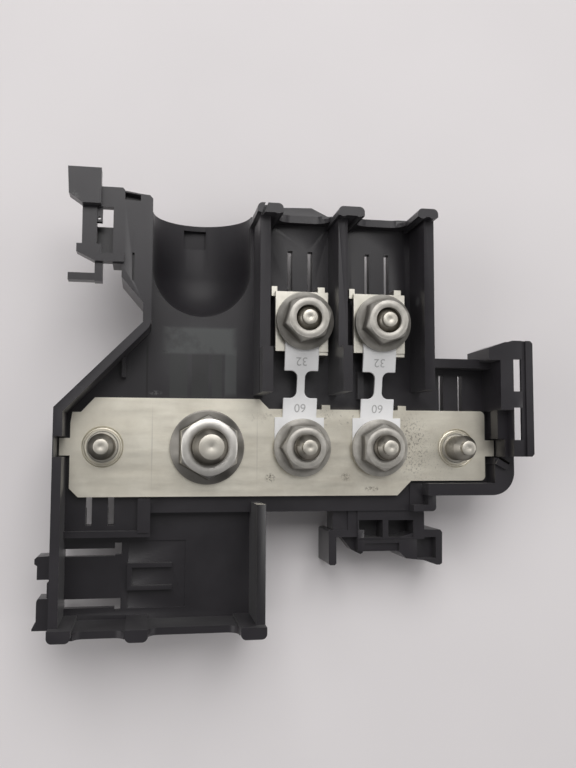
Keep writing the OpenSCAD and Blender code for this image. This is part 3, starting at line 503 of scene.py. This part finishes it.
def threadedStud(name, node, size, greaseAndShade):
    # radius as a function of angle and height: head, shoulder up to the busbar's top, a helical thread whose
    # depth is a triangle wave of height over pitch minus angle over a full turn, a cone, then the turned tip
    # with a shallow dimple
    look = studLook
    centreX, centreY, headR, footZ, topZ = uprightNode(node)
    radius, tipR, pitch = size["radius"], size["tip"], size["pitch"]
    edge, broken, step, cone = look["headEdge"], look["brokenEdge"], look["step"], look["endCone"]
    headTop = footZ + look["headHeight"]
    shoulderR = radius + look["shoulder"]
    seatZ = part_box("busbar")[1].z
    threadTop = topZ - look["endLength"]
    neckZ = topZ - look["tipLength"]
    foot = np.array([(headR - edge, footZ), (headR, footZ + edge), (headR, headTop - broken),
                     (headR - broken, headTop), (shoulderR, headTop + step), (shoulderR, seatZ - broken),
                     (shoulderR - broken, seatZ)])
    rows = int((threadTop - seatZ) / pitch * look["rowsPerPitch"])
    threadZ = np.linspace(seatZ + step, threadTop, rows)
    tipEdge = np.array(look["tipEdge"])
    dimple = np.array(look["dimple"])
    ringR = np.concatenate([foot[:, 0], np.full(rows, radius), [radius - cone, tipR], tipR - tipEdge[:, 0],
                            dimple[:, 0]])
    ringZ = np.concatenate([foot[:, 1], threadZ, [threadTop + cone, neckZ], topZ - tipEdge[:, 1],
                            topZ - dimple[:, 1]])
    cut = np.zeros(len(ringR))
    cut[len(foot):len(foot) + rows] = np.clip((threadZ - seatZ) / pitch - look["runIn"], 0, 1)
    turn = np.arange(look["sides"]) / look["sides"]
    phase = ringZ[:, None] / pitch - turn[None, :]
    wave = np.abs(2 * (phase % 1.0) - 1)
    groove = cut[:, None] * np.clip(wave * look["flankSlope"] - look["crest"], 0, 1)
    ring = ringR[:, None] - look["threadDepth"] * groove
    obj = gridPiece(name, turnedPoints(centreX, centreY, ring, 2 * np.pi * turn, ringZ), closeRows=False)
    smoothByAngle(obj, look["smoothAngle"])
    # the thread is darkened by old grease and by painted shade, more where it stands in a nut's bore, with
    # more painted shade in its groove; the turned tip is left clean
    belowTip = np.clip((neckZ + look["greaseShadeTop"] - ringZ) / look["greaseShadeFade"], 0, 1)
    darkened = greaseAndShade * (belowTip * np.clip((ringZ - seatZ) / look["greaseShadeFoot"], 0, 1))[:, None]
    shade = darkened * (look["crestDarkening"] + look["grooveShade"] * groove)
    paintShade(obj, np.concatenate([shade.ravel(), [0, 0]]))  # the two poles are clean
    finishPiece(obj, studSteel, node)


for node in ("left_stud", "right_stud"):
    threadedStud(node.replace("_", "") + "Turned", node, studLook["small"], studLook["bareGreaseAndShade"])
for node in ("fuse_1_bar_stud", "fuse_1_terminal_stud", "fuse_2_bar_stud", "fuse_2_terminal_stud"):
    threadedStud(node.replace("_", "") + "Turned", node, studLook["small"], studLook["inNutGreaseAndShade"])
threadedStud("mainstudTurned", "main_stud", studLook["main"], studLook["inNutGreaseAndShade"])
print("studs ready")


# flange nuts: each has its own turn about the stud, in degrees

nutLook = {
    "sides": 240, "wallRows": 43, "bendRows": 4,
    "small": {"flats": 9.8 * mm, "bore": 3.03 * mm, "material": nutSteel, "flangeShade": 0.1},
    "main": {"flats": 12.8 * mm, "bore": 4.03 * mm, "material": mainNutSteel, "flangeShade": 0.75},
    "turns": {"main_nut": 30, "fuse_1_bar_nut": 0, "fuse_2_bar_nut": 30, "fuse_1_terminal_nut": 14,
              "fuse_2_terminal_nut": 18},
    "rim": 1.15 * mm, "edge": 0.14 * mm, "slope": 1.5, "soft": 8000.0,
    "chamfer": 1.5 * mm, "chamferSlope": 0.9, "chamferOut": 0.25 * mm,
    "lip": 0.25 * mm, "lipDrop": 0.12 * mm, "sink": 0.15 * mm, "sinkEdge": 0.15 * mm, "sinkDrop": 0.08 * mm,
    "footBevel": 0.3 * mm, "smoothAngle": 40,
    # the shade's three limits are shares of the nut's height, and its fades are per share
    "sideShade": 0.7, "sideFrom": 0.25, "sideTo": 0.86, "flangeTo": 0.35, "lowFade": 12, "highFade": 9}


def softMin(first, second, sharpness):
    # the smaller of two, rounded where they cross: minus the logarithm of the sum of falling exponentials
    return -np.log(np.exp(-sharpness * first) + np.exp(-sharpness * second)) / sharpness


def softMax(first, second, sharpness):
    # the larger of two, rounded where they cross: the logarithm of the sum of rising exponentials
    return np.log(np.exp(sharpness * first) + np.exp(sharpness * second)) / sharpness


def flangeNut(name, node, size, turnDegrees):
    # outer radius over angle and height: an upright rim with small quarter-round edges, then the larger of
    # the flange's cone and a hexagon cut by a chamfer cone, blended softly; the inside runs down the
    # countersink and the bore
    look = nutLook
    centreX, centreY, flangeR, seat, topZ = uprightNode(node)
    height = topZ - seat
    flats, bore, rim, edge = size["flats"], size["bore"], look["rim"], look["edge"]
    bend = np.linspace(0, np.pi / 2, look["bendRows"])
    rimZ = np.concatenate([edge - edge * np.cos(bend), rim - edge + edge * np.sin(bend)])
    rimR = flangeR - edge + np.concatenate([edge * np.sin(bend), edge * np.cos(bend)])
    wallZ = np.concatenate([rimZ, np.linspace(rim, height, look["wallRows"] + 1)[1:]])
    angle = np.arange(look["sides"]) / look["sides"] * 2 * np.pi
    fromFlat = (angle - np.radians(turnDegrees)) % (np.pi / 3) - np.pi / 6
    hexagon = (flats / 2 / np.cos(fromFlat))[None, :]
    level = wallZ[:, None]
    flange = flangeR - edge - np.maximum(level - rim, 0) * look["slope"]
    cornerR = flats / 2 / np.cos(np.pi / 6)
    chamfer = cornerR + (height - look["chamfer"] - level) * look["chamferSlope"] + look["chamferOut"]
    outer = softMax(flange, softMin(hexagon, chamfer, look["soft"]), look["soft"])
    outer[:len(rimR)] = rimR[:, None]
    lip = outer[-1:] - look["lip"]
    sinkR = bore + look["sink"]
    innerR = np.array([sinkR + look["sinkEdge"], sinkR, bore, bore, bore + look["footBevel"]])
    innerZ = [height, height - look["sinkDrop"], height - look["sink"], look["footBevel"], 0]
    ring = np.vstack([outer, lip, innerR[:, None] + 0 * angle])
    ringZ = np.concatenate([wallZ[:-1], [height - look["lipDrop"], height], innerZ]) + seat
    obj = gridPiece(name, turnedPoints(centreX, centreY, ring, angle, ringZ))
    smoothByAngle(obj, look["smoothAngle"])
    # painted shade darkens the hexagon's sides and the flange, the main nut's flange most; the top is left
    # unshaded
    share = (ringZ - seat) / height
    aboveFlange = np.clip((share - look["sideFrom"]) * look["lowFade"], 0, 1)
    onSides = aboveFlange * np.clip((look["sideTo"] - share) * look["highFade"], 0, 1)
    shade = np.maximum(onSides * look["sideShade"], size["flangeShade"] * (share < look["flangeTo"]))
    paintShade(obj, np.repeat(np.clip(shade, 0, 1), look["sides"]))
    finishPiece(obj, size["material"], node)


for node, turnDegrees in nutLook["turns"].items():
    size = nutLook["main" if node == "main_nut" else "small"]
    flangeNut(node.replace("_", "") + "Formed", node, size, turnDegrees)
print("nuts ready")


# paper, light and camera

paperLook = {"half": 1.2, "colour": (0.78, 0.755, 0.765), "darker": 0.96, "roughness": 0.8,
             "cloudScale": 12, "cloudCut": [(0.35, 0.0), (0.65, 1.0)],
             "fibre": 0.06, "fibreScale": 500, "fibreHeight": 0.3 * mm}


def paperSheet(look):
    # a flat grid of three by three points under the part, in two close tones with a fibre bump
    side = np.linspace(-look["half"], look["half"], 3)
    x, y = np.meshgrid(side, side)
    points = np.stack([x, y, 0 * x], axis=-1).reshape(-1, 3)
    index = np.arange(len(points)).reshape(x.shape)
    corners = [index[:-1, :-1], index[:-1, 1:], index[1:, 1:], index[1:, :-1]]
    mesh = bpy.data.meshes.new("paper")
    mesh.from_pydata(points.tolist(), [], np.stack(corners, axis=-1).reshape(-1, 4).tolist())
    obj = bpy.data.objects.new("paper", mesh)
    scene.collection.objects.link(obj)
    mat, tree, shader, coord = newMaterial("palePaper")
    cloud = noiseNode(tree, coord, look["cloudScale"], detail=3, rough=0.5)
    fibre = noiseNode(tree, coord, look["fibreScale"], detail=5, rough=0.7)
    darkColour = tuple(look["darker"] * c for c in look["colour"])
    colour = mixNode(tree, rampNode(tree, cloud, look["cloudCut"]), darkColour, look["colour"])
    tree.links.new(colour, shader.inputs["Base Color"])
    tree.links.new(bumpNode(tree, fibre, look["fibre"], look["fibreHeight"]), shader.inputs["Normal"])
    shader.inputs["Roughness"].default_value = look["roughness"]
    obj.data.materials.append(mat)


paperSheet(paperLook)

# a weak sky and three area lights that point at the origin, each with its place, size and power
lightLook = {"sky": (1.0, 0.985, 0.985), "skyStrength": 0.26, "colour": (1.0, 0.985, 0.975), "areas": {
    "window": ((0.0, 0.6, 0.8), 0.8, 6.4),
    "leftFill": ((-0.8, 0.05, 0.45), 0.7, 2.4),
    "rightFill": ((0.8, 0.1, 0.4), 0.7, 1.9)}}
world = bpy.data.worlds.new("softRoom")
world.use_nodes = True
world.node_tree.nodes["Background"].inputs["Color"].default_value = (*lightLook["sky"], 1)
world.node_tree.nodes["Background"].inputs["Strength"].default_value = lightLook["skyStrength"]
scene.world = world


def areaLight(name, place, size, power, colour):
    # a square light turned from its place towards the origin
    data = bpy.data.lights.new(name, "AREA")
    data.size = size
    data.energy = power
    data.color = colour
    obj = bpy.data.objects.new(name, data)
    obj.location = place
    obj.rotation_euler = (-Vector(place)).to_track_quat("-Z", "Y").to_euler()
    scene.collection.objects.link(obj)


for name, (place, size, power) in lightLook["areas"].items():
    areaLight(name, place, size, power, lightLook["colour"])

# the camera looks almost straight down from just left of the middle
cameraLook = {"eye": (-0.0344, -0.01059, 0.20941), "forward": (0.171, 0.080, -0.982),
              "up": (-0.017, 0.997, 0.078), "lens": 38.56, "nearest": 10 * mm}
forward = Vector(cameraLook["forward"]).normalized()
right = forward.cross(Vector(cameraLook["up"])).normalized()
up = right.cross(forward)
cameraData = bpy.data.cameras.new("camera")
cameraData.lens = cameraLook["lens"]
cameraData.clip_start = cameraLook["nearest"]
camera = bpy.data.objects.new("camera", cameraData)
turn = Matrix((right, up, -forward)).transposed().to_4x4()
camera.matrix_world = Matrix.Translation(cameraLook["eye"]) @ turn
scene.collection.objects.link(camera)
scene.camera = camera
scene.view_settings.view_transform = "Standard"
print("stage ready")
